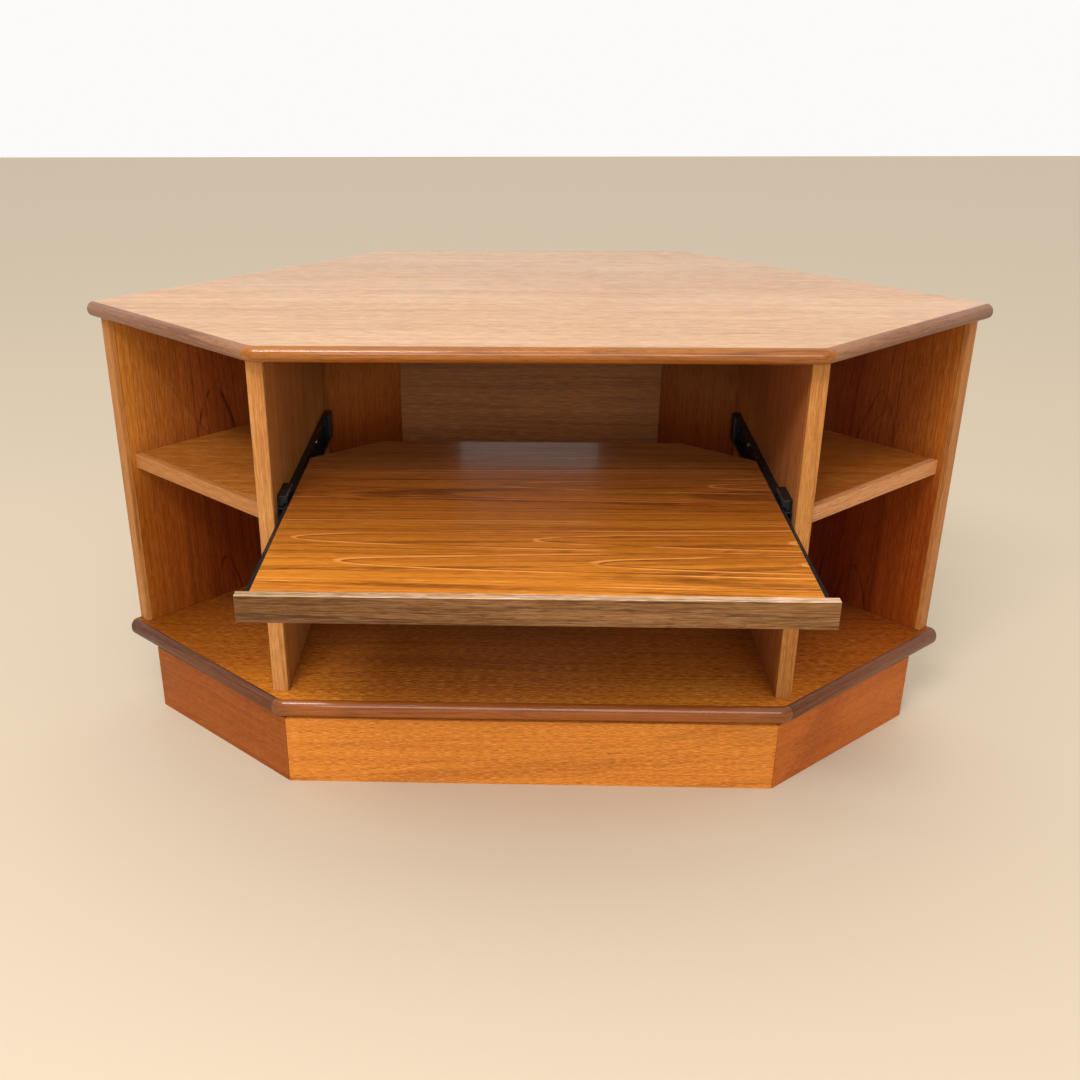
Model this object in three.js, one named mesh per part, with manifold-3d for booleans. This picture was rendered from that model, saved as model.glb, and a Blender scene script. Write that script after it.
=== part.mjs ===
// Corner media unit: six-sided top and base boards, open side cubbies, and a centre bay
// with a shelf that pulls out on roller runners. Millimetres, +Z up, front towards -Y.
import * as THREE from 'three';
import Module from 'manifold-3d';
import { mergeVertices } from 'three/addons/utils/BufferGeometryUtils.js';

const wasm = await Module();
wasm.setup();

// Plan of the top and base boards, measured from the front edge (y = 0) and the centre line.
const HALF_WIDTH = 520;
const HALF_FRONT = 292.5;
const CORNER_SETBACK = 195;
const BOARD_DEPTH = 509;
const CORNER_RADIUS = 25;
const BEND_TURNS = [0, 1, 2, 3, 4, 5, 6, 7, 8].map((step) => step / 8);

// Heights.
const HEIGHT = 527;
const TOP_THICK = 17;
const BASE_TOP = 109;
const BASE_THICK = 22;

// Shared stock sizes.
const PANEL = 18;
const LIP = 8;
const EDGE_LIP = 7;
const SHELF_LIP = 9;
const BACK_THICK = 6;
const JOINT = 0.3;

// Carcass.
const DIVIDER_OUT = 300;
const DIVIDER_FRONT = 25;
const WALL_LINE = 688;
const WALL_FRONT_X = 496;
const BACK_FACE = 500;
const VENT_HALF = 102;
const VENT_LOW = 412;
const VENT_HIGH = 478;
const VENT_RADIUS = 12;

// Corner shelves.
const CORNER_SHELF_TOP = 338;
const CORNER_SHELF_FRONT = 43;
const CORNER_SHELF_SLOPE = 0.84;
const PEG_RADIUS = 2.5;
const PEG_DEPTH = 9;
const PEG_SHOW = 8;

// Plinth.
const PLINTH_HALF = 284;
const PLINTH_FRONT = 2;
const PLINTH_SIDE_X = 479;
const PLINTH_SIDE_Y = 166;
const PLINTH_BACK = 455;

// Pull-out shelf, shown drawn forward.
const SHELF_HALF = 268;
const SHELF_TOP = 340;
const SHELF_THICK = 16;
const SHELF_FRONT = -171;
const SHELF_REAR = 248;
const SHELF_REAR_HALF = 185;
const SHELF_SIDE_REAR = 186;
const STRIP_HALF = 281;
const STRIP_THICK = 10;
const STRIP_HEIGHT = 29;

// Runners: x is measured from the centre line out to the divider's inner face.
const DIVIDER_IN = DIVIDER_OUT - PANEL;
const SHEET = 1.6;
const RAIL_OUT = DIVIDER_IN - JOINT;
const RAIL_LOW = 300;
const RAIL_HIGH = 335;
const RAIL_FRONT = 41;
const RAIL_REAR = 361;
const RAIL_REACH = 10.2;
const MOVER_IN = SHELF_HALF + JOINT;
const MOVER_FRONT = SHELF_FRONT + JOINT;
const MOVER_REAR = 155;
const MOVER_LOW = 313;
const MOVER_HIGH = 338;
const TRACK_UNDER = 326.1;
const ROLLER_R = 8;
const ROLLER_IN = 273.6;
const RIM_OUT = 273;
const ROLLER_OUT = 278;
const FRONT_ROLLER_Y = 50;
const REAR_ROLLER_Y = 143;
const PIN_R = 2;
const PIN_CLEAR = 0.05;
const SCREW_Z = 320;
const SCREW_Y = [110, 300];

const chamferAngle = Math.atan2(CORNER_SETBACK, HALF_WIDTH - HALF_FRONT);
const topUnder = HEIGHT - TOP_THICK;
const baseUnder = BASE_TOP - BASE_THICK;
const diagonalJoint = JOINT * Math.SQRT2;
const wallOuterLine = WALL_LINE + PANEL * Math.SQRT2;
const restCentreY = (BOARD_DEPTH + SHELF_FRONT - STRIP_THICK) / 2;

const group = new THREE.Group();
group.name = 'corner_media_unit';

const colours = {
  top_teak: 0xcd9669,
  lip_teak: 0x8a5636,
  panel_teak: 0xb4692c,
  edge_teak: 0xcf8f4f,
  plinth_teak: 0xbe5f23,
  shelf_teak: 0xd4761f,
  strip_walnut: 0x76553c,
  runner_black: 0x121012,
  guide_black: 0x181618,
  nylon_white: 0xdcdad2,
  zinc_steel: 0xb9bcc0,
};

function add(name, geometry, slot) {
  const metal = slot === 'runner_black' || slot === 'zinc_steel';
  const material = new THREE.MeshStandardMaterial({
    color: colours[slot],
    roughness: 0.5,
    metalness: metal ? 0.8 : 0,
  });
  const mesh = new THREE.Mesh(geometry, material);
  mesh.name = name;
  group.add(mesh);
}

function positionsOnly(geometry) {
  const bare = new THREE.BufferGeometry();
  bare.setAttribute('position', geometry.getAttribute('position').clone());
  if (geometry.index) bare.setIndex(geometry.index.clone());
  return mergeVertices(bare, 1e-4);
}

function toManifold(geometry) {
  const bare = positionsOnly(geometry);
  return new wasm.Manifold(new wasm.Mesh({
    numProp: 3,
    vertProperties: new Float32Array(bare.getAttribute('position').array),
    triVerts: new Uint32Array(bare.index.array),
  }));
}

function fromManifold(solid) {
  const mesh = solid.getMesh();
  const geometry = new THREE.BufferGeometry();
  const points = new Float32Array(mesh.vertProperties);
  geometry.setAttribute('position', new THREE.BufferAttribute(points, 3));
  geometry.setIndex(new THREE.BufferAttribute(new Uint32Array(mesh.triVerts), 1));
  geometry.computeVertexNormals();
  return geometry;
}

function carve(geometry, cutters) {
  const cut = cutters.reduce((solid, tool) => solid.subtract(toManifold(tool)), toManifold(geometry));
  return fromManifold(cut);
}

function join(geometries) {
  const [first, ...rest] = geometries.map(toManifold);
  return fromManifold(rest.reduce((solid, next) => solid.add(next), first));
}

function mirrored(geometry) {
  const flipped = positionsOnly(geometry);
  flipped.scale(-1, 1, 1);
  const index = flipped.index.array;
  for (let i = 0; i < index.length; i += 3) {
    [index[i], index[i + 1]] = [index[i + 1], index[i]];
  }
  flipped.computeVertexNormals();
  return flipped;
}

function addPair(name, rightGeometry, slot) {
  add(`${name}_right`, rightGeometry, slot);
  add(`${name}_left`, mirrored(rightGeometry), slot);
}

function shapeOf(outline) {
  return new THREE.Shape(outline.map(([x, y]) => new THREE.Vector2(x, y)));
}

// Plan outline raised from low to high.
function slab(outline, low, high, holes = []) {
  const shape = shapeOf(outline);
  holes.forEach((hole) => shape.holes.push(shapeOf(hole)));
  return new THREE.ExtrudeGeometry(shape, { depth: high - low, bevelEnabled: false })
    .translate(0, 0, low);
}

// Section drawn in X and Z, run along Y.
function alongY(section, front, rear, holes = []) {
  return slab(section, 0, rear - front, holes).rotateX(Math.PI / 2).translate(0, rear, 0);
}

// Section drawn in Y and Z, run along X.
function alongX(section, left, right) {
  return slab(section, 0, right - left)
    .rotateX(Math.PI / 2)
    .rotateZ(Math.PI / 2)
    .translate(left, 0, 0);
}

function rod(radius, left, right, y, z) {
  return new THREE.CylinderGeometry(radius, radius, right - left, 32)
    .rotateZ(Math.PI / 2)
    .translate((left + right) / 2, y, z);
}

function rectangle(left, right, low, high) {
  return [[left, low], [right, low], [right, high], [left, high]];
}

function roundedRectangle(left, right, low, high, radius, steps = 6) {
  const centres = [
    [right - radius, low + radius, -90],
    [right - radius, high - radius, 0],
    [left + radius, high - radius, 90],
    [left + radius, low + radius, 180],
  ];
  return centres.flatMap(([cx, cy, start]) => Array.from({ length: steps + 1 }, (_, i) => {
    const angle = THREE.MathUtils.degToRad(start + (90 * i) / steps);
    return [cx + radius * Math.cos(angle), cy + radius * Math.sin(angle)];
  }));
}

// Right-hand front corner of the boards: points at an inset from the outer edge, where turn
// runs from 0 (square to the front) to 1 (square to the slanted side).
function cornerFrame(turn) {
  const centre = [
    HALF_FRONT - CORNER_RADIUS * Math.tan(chamferAngle / 2),
    CORNER_RADIUS,
  ];
  const inward = [-Math.sin(chamferAngle * turn), Math.cos(chamferAngle * turn)];
  const edge = centre.map((value, i) => value - inward[i] * CORNER_RADIUS);
  return { edge, inward };
}

// Right-hand end of the slanted side, cut in line with the edge that faces the room's wall.
function wallFrame() {
  const reach = Math.sin(chamferAngle) + Math.cos(chamferAngle);
  return { edge: [HALF_WIDTH, CORNER_SETBACK], inward: [-1 / reach, 1 / reach] };
}

function insetPoint(frame, inset) {
  return frame.edge.map((value, i) => value + frame.inward[i] * inset);
}

function mirrorFrame({ edge, inward }) {
  return { edge: [-edge[0], edge[1]], inward: [-inward[0], inward[1]] };
}

function shiftFrame(frame, distance) {
  const along = [frame.inward[1], -frame.inward[0]];
  return { ...frame, edge: frame.edge.map((value, i) => value + along[i] * distance) };
}

function boardOutline(inset) {
  const right = [...BEND_TURNS.map(cornerFrame), wallFrame()].map((frame) => insetPoint(frame, inset));
  right.push([HALF_WIDTH + CORNER_SETBACK - BOARD_DEPTH, BOARD_DEPTH]);
  const left = right.map(([x, y]) => [-x, y]).reverse();
  return [...right, ...left];
}

// Half-round nose: closed loop of [inset, height].
function noseProfile(low, high) {
  const steps = 18;
  const half = (high - low) / 2;
  return Array.from({ length: steps + 1 }, (_, i) => {
    const angle = -Math.PI / 2 + (Math.PI * i) / steps;
    return [LIP * (1 - Math.cos(angle)), low + half + half * Math.sin(angle)];
  });
}

// Carries a profile through a row of plan frames and caps both ends.
function sweep(profile, frames) {
  const count = profile.length;
  const points = frames.flatMap((frame) => profile.map(([inset, z]) => {
    const [x, y] = insetPoint(frame, inset);
    return [x, y, z];
  }));
  const index = [];
  for (let row = 0; row + 1 < frames.length; row += 1) {
    for (let i = 0; i < count; i += 1) {
      const a = row * count + i;
      const b = row * count + ((i + 1) % count);
      index.push(a, a + count, b, b, a + count, b + count);
    }
  }
  const last = (frames.length - 1) * count;
  for (let i = 1; i + 1 < count; i += 1) {
    index.push(0, i, i + 1);
    index.push(last, last + i + 1, last + i);
  }
  const geometry = new THREE.BufferGeometry();
  geometry.setAttribute('position', new THREE.Float32BufferAttribute(points.flat(), 3));
  geometry.setIndex(index);
  geometry.computeVertexNormals();
  return geometry;
}

// The front lipping is bent round both corners, and each side lipping butts against its end.
function addBoard(name, low, high, panelSlot) {
  add(`${name}_panel`, slab(boardOutline(LIP + JOINT), low, high), panelSlot);
  const profile = noseProfile(low, high);
  const bend = BEND_TURNS.map(cornerFrame);
  const end = bend.pop();
  const rightHalf = [...bend, shiftFrame(end, -JOINT / 2)];
  const leftHalf = rightHalf.map(mirrorFrame).reverse();
  add(`${name}_lipping_front`, sweep(profile, [...leftHalf, ...rightHalf]), 'lip_teak');
  addPair(`${name}_lipping`, sweep(profile, [shiftFrame(end, JOINT / 2), wallFrame()]), 'lip_teak');
}

// Straight lengths with mitred ends around a closed plan outline.
function ringLengths(outline, thickness) {
  const count = outline.length;
  const edges = outline.map((point, i) => {
    const next = outline[(i + 1) % count];
    const length = Math.hypot(next[0] - point[0], next[1] - point[1]);
    const along = [(next[0] - point[0]) / length, (next[1] - point[1]) / length];
    return { point, along, inward: [-along[1], along[0]] };
  });
  const inner = edges.map((edge, i) => {
    const before = edges[(i + count - 1) % count];
    const cosTurn = before.along[0] * edge.along[0] + before.along[1] * edge.along[1];
    const scale = thickness / (1 + cosTurn);
    return edge.point.map((value, k) => value + (before.inward[k] + edge.inward[k]) * scale);
  });
  return edges.map((edge, i) => {
    const next = (i + 1) % count;
    const trim = (corner, step) => corner.map((value, k) => value + edge.along[k] * step);
    return [
      trim(outline[i], JOINT),
      trim(outline[next], -JOINT),
      trim(inner[next], -JOINT),
      trim(inner[i], JOINT),
    ];
  });
}

function addPlinth() {
  const backHalf = PLINTH_SIDE_X + PLINTH_SIDE_Y - PLINTH_BACK;
  const outline = [
    [-PLINTH_HALF, PLINTH_FRONT],
    [PLINTH_HALF, PLINTH_FRONT],
    [PLINTH_SIDE_X, PLINTH_SIDE_Y],
    [backHalf, PLINTH_BACK],
    [-backHalf, PLINTH_BACK],
    [-PLINTH_SIDE_X, PLINTH_SIDE_Y],
  ];
  const names = ['front', 'right', 'wall_right', 'back', 'wall_left', 'left'];
  const lengths = ringLengths(outline, PANEL);
  const high = baseUnder - JOINT;
  names.forEach((name, i) => add(`plinth_${name}`, slab(lengths[i], 0, high), 'plinth_teak'));

  const blockLeg = 34;
  const [, , frontEnd] = lengths[0];
  const slope = (PLINTH_SIDE_Y - PLINTH_FRONT) / (PLINTH_SIDE_X - PLINTH_HALF);
  const nook = [frontEnd[0], frontEnd[1] + JOINT];
  const run = blockLeg / Math.hypot(1, slope);
  const block = [
    [nook[0] - blockLeg, nook[1]],
    nook,
    [nook[0] + run, nook[1] + run * slope + JOINT],
  ];
  addPair('plinth_block', slab(block, 8, high - 6), 'plinth_teak');
}

function pegHoles(pegs) {
  return pegs.map(({ x, y }) => rod(PEG_RADIUS + PIN_CLEAR, x, x + 2 * PEG_DEPTH, y, pegHeight()));
}

function pegHeight() {
  return CORNER_SHELF_TOP - PANEL - JOINT - PEG_RADIUS;
}

function addDividers() {
  const front = DIVIDER_FRONT + EDGE_LIP + JOINT;
  const low = BASE_TOP + JOINT;
  const high = topUnder - JOINT;
  const wall = WALL_LINE - diagonalJoint;
  const plan = [
    [DIVIDER_IN, front],
    [DIVIDER_OUT, front],
    [DIVIDER_OUT, wall - DIVIDER_OUT],
    [DIVIDER_IN, wall - DIVIDER_IN],
  ];
  const screwHoles = SCREW_Y.map((y) => rod(1.8, DIVIDER_IN - 1, DIVIDER_IN + 12, y, SCREW_Z));
  const pegs = [{ x: DIVIDER_OUT - PEG_DEPTH, y: 90 }, { x: DIVIDER_OUT - PEG_DEPTH, y: 330 }];
  const body = carve(slab(plan, low, high), [...screwHoles, ...pegHoles(pegs)]);
  addPair('divider', body, 'panel_teak');
  pegs.forEach(({ y }, i) => {
    const peg = rod(PEG_RADIUS, DIVIDER_OUT - PEG_DEPTH + JOINT, DIVIDER_OUT + PEG_SHOW, y, pegHeight());
    addPair(`shelf_peg_${i + 1}`, peg, 'zinc_steel');
  });
  const lip = roundedRectangle(DIVIDER_IN, DIVIDER_OUT, DIVIDER_FRONT, front - JOINT, 1.5, 4);
  addPair('divider_lipping', slab(lip, low, high), 'edge_teak');
}

function addWallPanels() {
  const low = BASE_TOP + JOINT;
  const high = topUnder - JOINT;
  const step = PANEL / Math.SQRT2;
  const along = (distance) => {
    const x = WALL_FRONT_X - distance / Math.SQRT2;
    return [x, WALL_LINE - x];
  };
  const across = ([x, y]) => [x + step, y + step];
  const rear = BACK_FACE + BACK_THICK;
  const start = along(EDGE_LIP + JOINT);
  const plan = [
    start,
    across(start),
    [wallOuterLine - rear, rear],
    [WALL_LINE - rear, rear],
  ];
  const sink = PEG_DEPTH + 20;
  const pegAt = along(130);
  const peg = (radius, depth, show) => new THREE.CylinderGeometry(radius, radius, depth + show, 32)
    .translate(0, (depth - show) / 2, 0)
    .rotateZ(-Math.PI / 4)
    .translate(pegAt[0], pegAt[1], pegHeight());
  const body = carve(slab(plan, low, high), [peg(PEG_RADIUS + PIN_CLEAR, PEG_DEPTH, sink)]);
  addPair('wall_panel', body, 'panel_teak');
  addPair('shelf_peg_3', peg(PEG_RADIUS, PEG_DEPTH - JOINT, PEG_SHOW), 'zinc_steel');
  const front = along(0);
  const end = along(EDGE_LIP);
  addPair('wall_lipping', slab([front, across(front), across(end), end], low, high), 'edge_teak');
}

function addBack() {
  const low = BASE_TOP + JOINT;
  const high = topUnder - JOINT;
  const rear = BACK_FACE + BACK_THICK;
  const wall = WALL_LINE - diagonalJoint;
  const half = wall - BACK_FACE;
  const plan = [
    [-half, BACK_FACE],
    [half, BACK_FACE],
    [wall - rear, rear],
    [rear - wall, rear],
  ];
  const vent = roundedRectangle(-VENT_HALF, VENT_HALF, VENT_LOW, VENT_HIGH, VENT_RADIUS);
  const body = carve(slab(plan, low, high), [alongY(vent, BACK_FACE - 5, rear + 5)]);
  add('back_panel', body, 'panel_teak');
}

function addCornerShelves() {
  const tilt = Math.hypot(1, CORNER_SHELF_SLOPE);
  const left = DIVIDER_OUT + JOINT;
  const wall = WALL_LINE - diagonalJoint;
  const frontLine = (inset) => {
    const startY = CORNER_SHELF_FRONT + inset * tilt;
    const x = (wall - startY + CORNER_SHELF_SLOPE * DIVIDER_OUT) / (1 + CORNER_SHELF_SLOPE);
    return [[left, startY + CORNER_SHELF_SLOPE * JOINT], [x, wall - x]];
  };
  const low = CORNER_SHELF_TOP - PANEL;
  const [panelStart, panelEnd] = frontLine(SHELF_LIP + JOINT);
  const panel = [panelStart, panelEnd, [left, wall - left]];
  addPair('corner_shelf', slab(panel, low, CORNER_SHELF_TOP), 'panel_teak');
  const [lipStart, lipEnd] = frontLine(0);
  const [seamStart, seamEnd] = frontLine(SHELF_LIP);
  const lip = slab([lipStart, lipEnd, seamEnd, seamStart], low, CORNER_SHELF_TOP);
  addPair('corner_shelf_lipping', lip, 'edge_teak');
}

function rollerGeometry(y, z) {
  const bore = PIN_R + PIN_CLEAR;
  const half = (ROLLER_OUT - ROLLER_IN) / 2;
  const ease = 0.8;
  const loop = [
    [bore, -half],
    [ROLLER_R - ease, -half],
    [ROLLER_R, -half + ease],
    [ROLLER_R, half - ease],
    [ROLLER_R - ease, half],
    [bore, half],
    [bore, -half],
  ];
  const lathe = new THREE.LatheGeometry(loop.map(([r, h]) => new THREE.Vector2(r, h)), 40);
  return positionsOnly(lathe)
    .rotateZ(-Math.PI / 2)
    .translate((ROLLER_IN + ROLLER_OUT) / 2, y, z);
}

function addFixedRunners() {
  const webIn = RAIL_OUT - SHEET;
  const mouth = RAIL_OUT - RAIL_REACH;
  const section = [
    [mouth, RAIL_LOW],
    [RAIL_OUT, RAIL_LOW],
    [RAIL_OUT, RAIL_HIGH],
    [mouth + 3, RAIL_HIGH],
    [mouth + 3, RAIL_HIGH - SHEET],
    [webIn, RAIL_HIGH - SHEET],
    [webIn, RAIL_LOW + SHEET],
    [mouth + SHEET, RAIL_LOW + SHEET],
    [mouth + SHEET, RAIL_LOW + 4],
    [mouth, RAIL_LOW + 4],
  ];
  const rollerZ = TRACK_UNDER - 0.1 - ROLLER_R;
  const holes = SCREW_Y.map((y) => rod(1.8, webIn - 1, RAIL_OUT + 1, y, SCREW_Z));
  holes.push(rod(PIN_R + PIN_CLEAR, webIn - 1, RAIL_OUT + 1, FRONT_ROLLER_Y, rollerZ));
  addPair('fixed_rail', carve(alongY(section, RAIL_FRONT, RAIL_REAR), holes), 'runner_black');

  addPair('front_roller', rollerGeometry(FRONT_ROLLER_Y, rollerZ), 'nylon_white');
  const pin = join([
    rod(PIN_R, ROLLER_IN - 0.6, RAIL_OUT, FRONT_ROLLER_Y, rollerZ),
    rod(PIN_R * 2, ROLLER_IN - 1, ROLLER_IN - 0.2, FRONT_ROLLER_Y, rollerZ),
  ]);
  addPair('front_pin', pin, 'zinc_steel');

  const guide = [
    [mouth + 3, RAIL_HIGH + JOINT],
    [RAIL_OUT, RAIL_HIGH + JOINT],
    [RAIL_OUT, RAIL_HIGH + 13],
    [mouth + 1, RAIL_HIGH + 13],
    [mouth - 0.8, RAIL_HIGH + 11],
    [mouth - 0.8, MOVER_HIGH + 0.6],
    [mouth + 3, MOVER_HIGH + 0.6],
  ];
  addPair('front_guide', alongY(guide, FRONT_ROLLER_Y - 6, FRONT_ROLLER_Y + 34), 'guide_black');

  const buffer = roundedRectangle(mouth - 0.8, RAIL_OUT, RAIL_REAR + 0.6, RAIL_REAR + 24, 2, 4);
  addPair('rear_buffer', slab(buffer, RAIL_LOW + 1, RAIL_HIGH), 'guide_black');

  SCREW_Y.forEach((y, i) => {
    const screw = join([
      rod(1.5, webIn - 0.6, DIVIDER_IN + 11, y, SCREW_Z),
      rod(3.5, webIn - 1.3, webIn - 0.1, y, SCREW_Z),
    ]);
    addPair(`rail_screw_${i + 1}`, screw, 'zinc_steel');
  });
}

function addPulloutShelf() {
  const plan = [
    [-SHELF_HALF, SHELF_FRONT + JOINT],
    [SHELF_HALF, SHELF_FRONT + JOINT],
    [SHELF_HALF, SHELF_SIDE_REAR],
    [SHELF_REAR_HALF, SHELF_REAR],
    [-SHELF_REAR_HALF, SHELF_REAR],
    [-SHELF_HALF, SHELF_SIDE_REAR],
  ];
  add('pullout_board', slab(plan, SHELF_TOP - SHELF_THICK, SHELF_TOP), 'shelf_teak');
  const stripFront = SHELF_FRONT - STRIP_THICK;
  const section = roundedRectangle(stripFront, SHELF_FRONT, SHELF_TOP - STRIP_HEIGHT, SHELF_TOP, 1.2, 3);
  add('pullout_strip', alongX(section, -STRIP_HALF, STRIP_HALF), 'strip_walnut');
}

function addMovingRunners() {
  const webOut = MOVER_IN + SHEET;
  const axleZ = RAIL_LOW + SHEET + 0.1 + ROLLER_R;
  const web = [
    [MOVER_FRONT, MOVER_LOW],
    [REAR_ROLLER_Y - 22, MOVER_LOW],
    [REAR_ROLLER_Y - 9, axleZ - 5.5],
    [MOVER_REAR, axleZ - 5.5],
    [MOVER_REAR, MOVER_HIGH],
    [MOVER_FRONT, MOVER_HIGH],
  ];
  const shelfUnder = SHELF_TOP - SHELF_THICK - JOINT;
  const ledge = rectangle(MOVER_IN - 16, webOut, shelfUnder - SHEET, shelfUnder);
  const track = rectangle(MOVER_IN, ROLLER_OUT - 0.5, TRACK_UNDER, TRACK_UNDER + SHEET);
  const rim = rectangle(MOVER_IN, RIM_OUT, MOVER_HIGH - SHEET, MOVER_HIGH);
  const body = join([
    alongX(web, MOVER_IN, webOut),
    alongY(ledge, MOVER_FRONT, MOVER_REAR),
    alongY(track, MOVER_FRONT, REAR_ROLLER_Y - ROLLER_R - 3),
    alongY(rim, MOVER_FRONT, MOVER_REAR),
  ]);
  const hole = rod(PIN_R + PIN_CLEAR, MOVER_IN - 1, webOut + 1, REAR_ROLLER_Y, axleZ);
  addPair('moving_rail', carve(body, [hole]), 'runner_black');
  addPair('rear_roller', rollerGeometry(REAR_ROLLER_Y, axleZ), 'nylon_white');
  const pin = join([
    rod(PIN_R, MOVER_IN, ROLLER_OUT + 0.8, REAR_ROLLER_Y, axleZ),
    rod(PIN_R * 1.6, ROLLER_OUT + 0.2, ROLLER_OUT + 1.2, REAR_ROLLER_Y, axleZ),
  ]);
  addPair('rear_pin', pin, 'zinc_steel');
}

addBoard('top', topUnder, HEIGHT, 'top_teak');
addBoard('base', baseUnder, BASE_TOP, 'panel_teak');
addPlinth();
addDividers();
addWallPanels();
addBack();
addCornerShelves();
addFixedRunners();
addPulloutShelf();
addMovingRunners();

group.children.forEach((mesh) => mesh.geometry.translate(0, -restCentreY, 0));

export default group;
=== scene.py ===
"""Looks for the corner media unit: teak veneers and lippings, black runners and a gloss shelf."""

import math

import bmesh
import bpy
from mathutils import Matrix, Vector


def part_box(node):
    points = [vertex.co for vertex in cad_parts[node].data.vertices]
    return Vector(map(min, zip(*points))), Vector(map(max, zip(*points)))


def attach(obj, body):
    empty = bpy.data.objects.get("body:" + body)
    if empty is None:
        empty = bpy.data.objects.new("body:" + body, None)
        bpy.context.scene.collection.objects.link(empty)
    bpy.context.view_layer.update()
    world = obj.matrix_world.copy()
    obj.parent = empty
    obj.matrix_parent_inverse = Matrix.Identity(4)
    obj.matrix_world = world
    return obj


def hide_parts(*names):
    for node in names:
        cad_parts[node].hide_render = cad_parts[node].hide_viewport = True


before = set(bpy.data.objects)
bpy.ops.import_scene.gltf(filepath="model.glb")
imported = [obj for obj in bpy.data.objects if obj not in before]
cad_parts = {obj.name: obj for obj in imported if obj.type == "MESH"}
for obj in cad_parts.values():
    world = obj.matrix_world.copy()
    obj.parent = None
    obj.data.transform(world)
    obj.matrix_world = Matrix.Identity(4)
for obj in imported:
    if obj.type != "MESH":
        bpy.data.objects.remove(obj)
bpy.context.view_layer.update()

SIDES = (("right", 1), ("left", -1))


# ---------------------------------------------------------------- node helpers


def feed(tree, target, value):
    """Links an output to a socket, or sets the socket to a constant."""
    if isinstance(value, bpy.types.NodeSocket):
        tree.links.new(value, target)
    else:
        target.default_value = value


def calc(tree, operation, a, b=0.0, c=0.0, clamp=False):
    """One step of arithmetic on sockets or numbers."""
    node = tree.nodes.new("ShaderNodeMath")
    node.operation = operation
    node.use_clamp = clamp
    for socket, value in zip(node.inputs, (a, b, c)):
        feed(tree, socket, value)
    return node.outputs[0]


def remap(tree, value, low, high, to_low=0.0, to_high=1.0, smooth=True):
    node = tree.nodes.new("ShaderNodeMapRange")
    node.interpolation_type = "SMOOTHSTEP" if smooth else "LINEAR"
    feed(tree, node.inputs["Value"], value)
    for key, number in (("From Min", low), ("From Max", high), ("To Min", to_low), ("To Max", to_high)):
        feed(tree, node.inputs[key], number)
    return node.outputs["Result"]


def blend(tree, factor, a, b):
    node = tree.nodes.new("ShaderNodeMix")
    node.data_type = "RGBA"
    feed(tree, node.inputs["Factor"], factor)
    for socket, value in ((node.inputs[6], a), (node.inputs[7], b)):
        feed(tree, socket, value if isinstance(value, bpy.types.NodeSocket) else (*value, 1.0))
    return node.outputs[2]


def stretch(tree, vector, scale):
    node = tree.nodes.new("ShaderNodeMapping")
    feed(tree, node.inputs["Vector"], vector)
    node.inputs["Scale"].default_value = scale
    return node.outputs["Vector"]


def noise(tree, vector, detail=2.0, roughness=0.5, scale=1.0):
    node = tree.nodes.new("ShaderNodeTexNoise")
    feed(tree, node.inputs["Vector"], vector)
    node.inputs["Scale"].default_value = scale
    node.inputs["Detail"].default_value = detail
    node.inputs["Roughness"].default_value = roughness
    return node.outputs["Fac"]


def centred(tree, value, gain):
    return calc(tree, "MULTIPLY", calc(tree, "SUBTRACT", value, 0.5), gain)


# ---------------------------------------------------------------- wood

GRAIN_KEYS = ("pith", "depth", "taper", "rings", "seed", "wander")


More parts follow.
